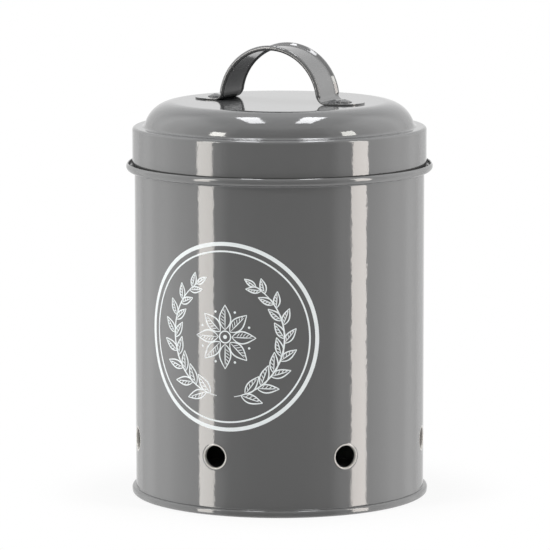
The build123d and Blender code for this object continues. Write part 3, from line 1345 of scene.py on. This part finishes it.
        with editing(piece):
            bpy.ops.mesh.spin(steps=self.arch_steps, angle=-sweep, center=arch_axis, axis=AXIS_Y)
            bpy.ops.mesh.spin(steps=self.bend_steps, angle=sweep, center=bend_axis, axis=AXIS_Y)
            pick_points(piece, in_bend)
            shift_points(piece, self.flatten)
            pick_points(piece, lambda v: v.co.x > self.bend_across - TOLERANCE)
            self.extrude_foot()
        apply_modifier(piece, "MIRROR", use_axis=(True, False, False), merge_threshold=TOLERANCE)
        with editing(piece):
            bpy.ops.mesh.normals_make_consistent(inside=False)
        drill(piece, self.rivet_places, RIVET_HOLE, 4.0 * self.sheet)
        return piece

    def build(self) -> None:
        """Build and dress the strap."""
        finish_piece(self.build_strap(), self.paint, Body.LID, ["handle_strap"])


@dataclass
class Rivets:
    """The two blind rivets through the handle's feet, each with the snapped stub of its mandrel."""

    grip: float = LID_SHEET + STRAP_SHEET
    head_radius: float = 3.25 * MM
    head_edge: float = 0.25 * MM
    dome_rise: float = 0.9 * MM
    dome_margin: float = 0.12 * MM
    shank: float = 1.6 * MM
    bulb: float = 2.45 * MM
    bulb_length: float = 2.4 * MM
    mandrel: float = 0.9 * MM
    mandrel_gap: float = 0.02 * MM
    mandrel_dip: float = 0.5 * MM
    mandrel_head: float = 1.45 * MM
    mandrel_head_length: float = 1.2 * MM
    easing: float = 0.02 * MM
    turns: int = 48

    def __post_init__(self) -> None:
        """Take the rivets' places from the frame."""
        low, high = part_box("rivet_right")
        self.across = (low.x + high.x) / 2
        self.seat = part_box("handle_strap")[0].z + STRAP_SHEET
        self.crest = self.head_edge + self.dome_rise
        self.bulb_foot = -self.grip - self.bulb_length

    def places(self) -> list[Vector]:
        """Give the middle of each rivet, on the strap's foot."""
        return [Vector((side.value * self.across, 0.0, self.seat)) for side in Side]

    def rivet_outline(self) -> list[Point]:
        """Draw the section of a set rivet, from the bulb's foot inside up to the head and down outside.

        Returns:
            Radius and height of each point, once round.
        """
        sphere = (self.head_radius**2 + self.dome_rise**2) / (2.0 * self.dome_rise)
        centre = (0.0, self.crest - sphere)
        rim = math.degrees(math.acos((self.head_radius - self.dome_margin) / sphere))
        hole = math.degrees(math.acos((self.mandrel + self.dome_margin) / sphere))
        dome = arc(centre, sphere, hole, rim, 3.0)
        lip = rounded(
            [
                (self.mandrel, self.bulb_foot, 0.0),
                (self.mandrel, dome[0][1], 0.1 * MM),
                (dome[0][0], dome[0][1], 0.0),
            ],
            easing=self.easing,
        )
        foot = rounded(
            [
                (dome[-1][0], dome[-1][1], 0.0),
                (self.head_radius, self.head_edge, 0.08 * MM),
                (self.head_radius, 0.0, 0.06 * MM),
                (self.shank, 0.0, 0.0),
                (self.shank, -self.grip, 0.0),
                (self.bulb, -self.grip, 0.3 * MM),
                (self.bulb, self.bulb_foot, 0.6 * MM),
                (self.mandrel + 0.05 * MM, self.bulb_foot, 0.0),
            ],
            easing=self.easing,
        )
        return lip[:-1] + dome[:-1] + foot

    def mandrel_outline(self) -> list[Point]:
        """Draw the section of the snapped mandrel, from its torn top down to its head.

        Returns:
            Radius and height of each point.
        """
        radius = self.mandrel - self.mandrel_gap
        top = self.crest - self.mandrel_dip
        head_top = self.bulb_foot - self.mandrel_gap
        head_foot = self.bulb_foot - self.mandrel_head_length
        return rounded(
            [
                (0.0, top - 0.08 * MM, 0.0),
                (0.45 * radius, top - 0.02 * MM, 0.1 * MM),
                (0.8 * radius, top + 0.1 * MM, 0.05 * MM),
                (radius, top - 0.05 * MM, 0.05 * MM),
                (radius, head_top, 0.0),
                (self.mandrel_head, head_top, 0.15 * MM),
                (self.mandrel_head, head_foot, 0.5 * MM),
                (0.0, head_foot, 0.0),
            ],
            easing=self.easing,
        )

    def build(self) -> None:
        """Build one rivet and one mandrel at the axis, then set a copy of each at both feet."""
        rivet = lathe("lid_rivet", self.rivet_outline(), self.turns, closed=True)
        mandrel = lathe("lid_rivet_pin", self.mandrel_outline(), self.turns)
        rivet_paint = RIVET_ENAMEL.material()
        mandrel_metal = MANDREL_STEEL.material()
        for side, place in zip(Side, self.places()):
            hand = side.name.lower()
            copy = copy_moved(rivet, f"lid_rivet_{hand}", place)
            finish_piece(copy, rivet_paint, Body.LID, [f"rivet_{hand}"])
            copy = copy_moved(mandrel, f"lid_rivet_pin_{hand}", place)
            finish_piece(copy, mandrel_metal, Body.LID, [f"rivet_mandrel_{hand}"])
        for pattern in (rivet, mandrel):
            bpy.data.objects.remove(pattern)


# Studio


@dataclass(frozen=True)
class Lamp:
    """One soft lamp, placed round the keeper from where the camera stands.

    Azimuth is to the right of the camera's, in degrees.  A lamp on the ceiling faces down and lies in
    line with the view; the others stand upright and face the keeper's axis.
    """

    name: str
    azimuth: float
    distance: float
    level: float
    width: float
    length: float
    radiance: float
    colour: str
    overhead: bool = False


@dataclass
class Studio:
    """Pale floor, white surround, soft lamps and the camera.

    The surround's levels are what gloss mirrors: brightest at the sides, where the white walls stand
    close, and brighter overhead than in front and behind.  Each is a list of azimuth, away from the
    camera's in degrees, and level.
    """

    camera_azimuth: float = 26.0
    camera_distance: float = 1.699
    camera_height: float = 0.330
    camera_pitch: float = 8.016
    camera_roll: float = -0.06
    camera_yaw: float = 0.0642
    lens: float = 270.15
    floor_size: float = 12.0
    floor_bounce: str = "#e8e8e8"
    shadow_share: float = 0.15
    shadow_reach: tuple[float, float] = (0.062, 0.110)
    matt_share: float = 0.15
    low_levels: tuple[Point, ...] = (
        (15.0, 0.9),
        (38.0, 1.1),
        (52.0, 2.1),
        (72.0, 3.2),
        (98.0, 3.3),
        (120.0, 2.5),
        (143.0, 1.4),
        (160.0, 1.0),
    )
    high_levels: tuple[Point, ...] = (
        (20.0, 1.35),
        (40.0, 1.5),
        (52.0, 2.1),
        (78.0, 3.0),
        (100.0, 3.4),
        (125.0, 3.15),
        (150.0, 1.75),
        (175.0, 1.5),
    )
    top_level: float = 2.2
    bottom_level: float = 2.4
    high_elevation: float = 42.0
    top_elevations: tuple[float, float] = (46.0, 62.0)
    bottom_elevations: tuple[float, float] = (-30.0, -60.0)
    level_scale: float = 4.0
    lamps: tuple[Lamp, ...] = (
        Lamp("strip_left", -59.1, 1.5, 0.205, 0.350, 1.11, 9.6, "#fffaf3"),
        Lamp("strip_right", 64.6, 1.5, 0.205, 0.366, 1.11, 10.2, "#fff7f0"),
        Lamp("strip_left_top", -56.8, 1.5, 0.935, 0.360, 0.35, 17.0, "#fffef8"),
        Lamp("strip_right_top", 64.0, 1.5, 0.935, 0.330, 0.35, 12.8, "#fffef8"),
        Lamp("ceiling_left", -115.5, 0.349, 1.66, 0.240, 0.84, 13.6, "#fbfcff", True),
        Lamp("ceiling_right", 113.4, 0.378, 1.66, 0.235, 0.84, 14.6, "#fbfcff", True),
    )

    def direction(self, azimuth: float) -> Vector:
        """Give the level direction at an azimuth to the right of the camera's."""
        turn = math.radians(self.camera_azimuth + azimuth)
        return Vector((math.sin(turn), -math.cos(turn), 0.0))

    def add_lamp(self, lamp: Lamp) -> None:
        """Set up one lamp.

        Args:
            lamp: Its place, size and light.
        """
        bpy.ops.object.select_all(action="DESELECT")
        place = self.direction(lamp.azimuth) * lamp.distance + Vector((0.0, 0.0, lamp.level))
        bpy.ops.object.light_add(type="AREA", location=place)
        light = bpy.context.active_object
        light.name = lamp.name
        light.data.shape = "RECTANGLE"
        light.data.size = lamp.width
        light.data.size_y = lamp.length
        light.data.energy = lamp.radiance * math.pi * lamp.width * lamp.length
        light.data.color = linear(lamp.colour)[:3]
        light.visible_camera = False
        if lamp.overhead:
            light.rotation_euler = (0.0, 0.0, math.radians(self.camera_azimuth))
        else:
            facing = -self.direction(lamp.azimuth)
            light.rotation_euler = facing.to_track_quat("-Z", "Y").to_euler()
        log.info("lamp %s", lamp.name)

    def add_floor(self) -> None:
        """Lay a floor that looks white, takes a faint shadow and lets gloss mirror the surround."""
        floor = add_primitive("floor", bpy.ops.mesh.primitive_plane_add, size=self.floor_size)
        material, tree, place = start_material("floor_matt_white")
        path = add_node(tree, "LightPath").outputs
        white = add_node(tree, "Emission", {"Color": linear("#ffffff"), "Strength": 1.0})
        pale = add_node(tree, "BsdfDiffuse", {"Color": linear("#f4f4f4")})
        bounce = add_node(tree, "BsdfDiffuse", {"Color": linear(self.floor_bounce)})
        clear = add_node(tree, "BsdfTransparent")
        away = add_node(tree, "VectorMath", [place], operation="LENGTH")
        fade = [away, *self.shadow_reach, self.shadow_share, 0.0]
        shadow = add_node(tree, "MapRange", fade, interpolation_type="SMOOTHSTEP")
        seen = add_node(tree, "MixShader", [shadow, white, pale])
        lit = add_node(tree, "MixShader", [path["Is Camera Ray"], bounce, seen])
        final = add_node(tree, "MixShader", [path["Is Glossy Ray"], lit, clear])
        add_node(tree, "OutputMaterial", {"Surface": final})
        floor.data.materials.append(material)

    def level_ramp(
        self, tree: bpy.types.NodeTree, levels: Sequence[Point], share: bpy.types.Node
    ) -> bpy.types.Node:
        """Add a ramp of levels by azimuth.

        Args:
            tree: The world's nodes.
            levels: Azimuth and level of each stop.
            share: Azimuth as a share of half a turn.

        Returns:
            The level as a share of the level scale.
        """
        ramp = add_node(tree, "ValToRGB", [share])
        stops = ramp.color_ramp.elements
        while len(stops) < len(levels):
            stops.new(0.5)
        for stop, (azimuth, level) in zip(stops, levels):
            stop.position = azimuth / 180.0
            value = level / self.level_scale
            stop.color = (value, value, value, 1.0)
        ramp.color_ramp.interpolation = "EASE"
        return ramp

    def level(self, tree: bpy.types.NodeTree) -> bpy.types.Node:
        """Work out the level of the surround from each direction.

        Args:
            tree: The world's nodes.

        Returns:
            The level.
        """
        toward = add_node(tree, "TexCoord").outputs["Generated"]
        turn = (0.0, 0.0, -math.radians(self.camera_azimuth))
        turned = add_node(tree, "Mapping", {"Vector": toward, "Rotation": turn})
        parts = add_node(tree, "SeparateXYZ", [turned]).outputs
        front = add_node(tree, "Math", [parts["Y"], -1.0], operation="MULTIPLY")
        side = add_node(tree, "Math", [parts["X"]], operation="ABSOLUTE")
        azimuth = add_node(tree, "Math", [side, front], operation="ARCTAN2")
        share = add_node(tree, "Math", [azimuth, math.pi], operation="DIVIDE")
        elevation = add_node(tree, "Math", [parts["Z"]], operation="ARCSINE")
        rise = add_node(tree, "MapRange", [elevation, 0.0, math.radians(self.high_elevation)])
        low = self.level_ramp(tree, self.low_levels, share)
        high = self.level_ramp(tree, self.high_levels, share)
        level = add_node(tree, "Mix", {"Factor": rise, "A": low, "B": high})
        for pole, span in (
            (self.top_level, self.top_elevations),
            (self.bottom_level, self.bottom_elevations),
        ):
            limits = [math.radians(angle) for angle in span]
            near_pole = add_node(tree, "MapRange", [elevation, *limits], interpolation_type="SMOOTHSTEP")
            level = add_node(tree, "Mix", {"Factor": near_pole, "A": level, "B": pole / self.level_scale})
        return add_node(tree, "Math", [level, self.level_scale], operation="MULTIPLY")

    def add_surround(self) -> None:
        """Make the surround: plain white to the camera, its own levels to gloss, a share to the rest."""
        world = bpy.data.worlds.new("white_surround")
        world.use_nodes = True
        tree = world.node_tree
        tree.nodes.clear()
        path = add_node(tree, "LightPath").outputs
        share = add_node(tree, "Mix", {"Factor": path["Is Glossy Ray"], "A": self.matt_share, "B": 1.0})
        level = add_node(tree, "Math", [self.level(tree), share], operation="MULTIPLY")
        rays = [path["Is Camera Ray"], path["Is Transmission Ray"]]
        seen = add_node(tree, "Math", rays, operation="MAXIMUM")
        strength = add_node(tree, "Mix", {"Factor": seen, "A": level, "B": 1.0})
        light = add_node(tree, "Background", {"Color": linear("#ffffff"), "Strength": strength})
        add_node(tree, "OutputWorld", {"Surface": light})
        bpy.context.scene.world = world

    def add_camera(self) -> None:
        """Set up the camera."""
        place = self.direction(0.0) * self.camera_distance + Vector((0.0, 0.0, self.camera_height))
        bpy.ops.object.camera_add(location=place)
        camera = bpy.context.active_object
        camera.name = "camera"
        camera.data.lens = self.lens
        camera.rotation_euler = (
            math.radians(90.0 - self.camera_pitch),
            0.0,
            math.radians(self.camera_azimuth + self.camera_yaw),
        )
        camera.rotation_euler.rotate_axis("Z", math.radians(self.camera_roll))
        bpy.context.scene.camera = camera

    def build(self) -> None:
        """Set up floor, surround, lamps and camera."""
        self.add_floor()
        self.add_surround()
        for lamp in self.lamps:
            self.add_lamp(lamp)
        self.add_camera()
        bpy.context.scene.view_settings.view_transform = "Standard"


def main() -> None:
    """Build the keeper and its studio around the frame."""
    logging.basicConfig(level=logging.INFO, format="%(message)s")
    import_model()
    canister = Canister()
    canister.build()
    Badge(canister.wall_radius).build()
    lid_paint = StovedEnamel("stoved_enamel_lid").material()
    rivets = Rivets()
    LidCover(rivets.places(), lid_paint).build()
    Handle(rivets.places(), lid_paint).build()
    rivets.build()
    Studio().build()


if __name__ == "__main__":
    main()
